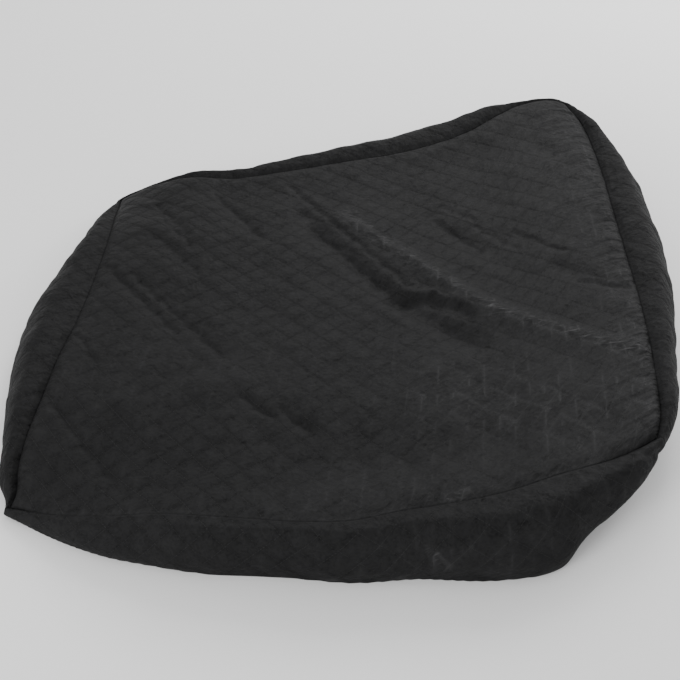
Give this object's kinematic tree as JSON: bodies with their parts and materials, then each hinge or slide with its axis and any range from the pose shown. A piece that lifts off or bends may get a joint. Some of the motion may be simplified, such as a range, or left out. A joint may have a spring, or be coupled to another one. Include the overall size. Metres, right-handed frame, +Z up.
{
  "type": "hot tub cover",
  "caption": "Square fitted hot tub cover in quilted cloth, lying limp on the floor: a sagging top panel sewn to a skirt that swells out and turns its hem under.",
  "frame": {"origin": "centre of the cover's bounding box, on the floor", "axes": "+Z up, -Y the front that the picture shows, +X to the right"},
  "size_m": [2.2988, 2.3752, 0.2613],
  "materials": {
    "quilted_top": "matt",
    "quilted_skirt": "matt"
  },
  "bodies": {
    "root": {"top_panel": "quilted_top", "skirt_front": "quilted_skirt", "skirt_right": "quilted_skirt", "skirt_back": "quilted_skirt", "skirt_left": "quilted_skirt"}
  },
  "joints": []
}
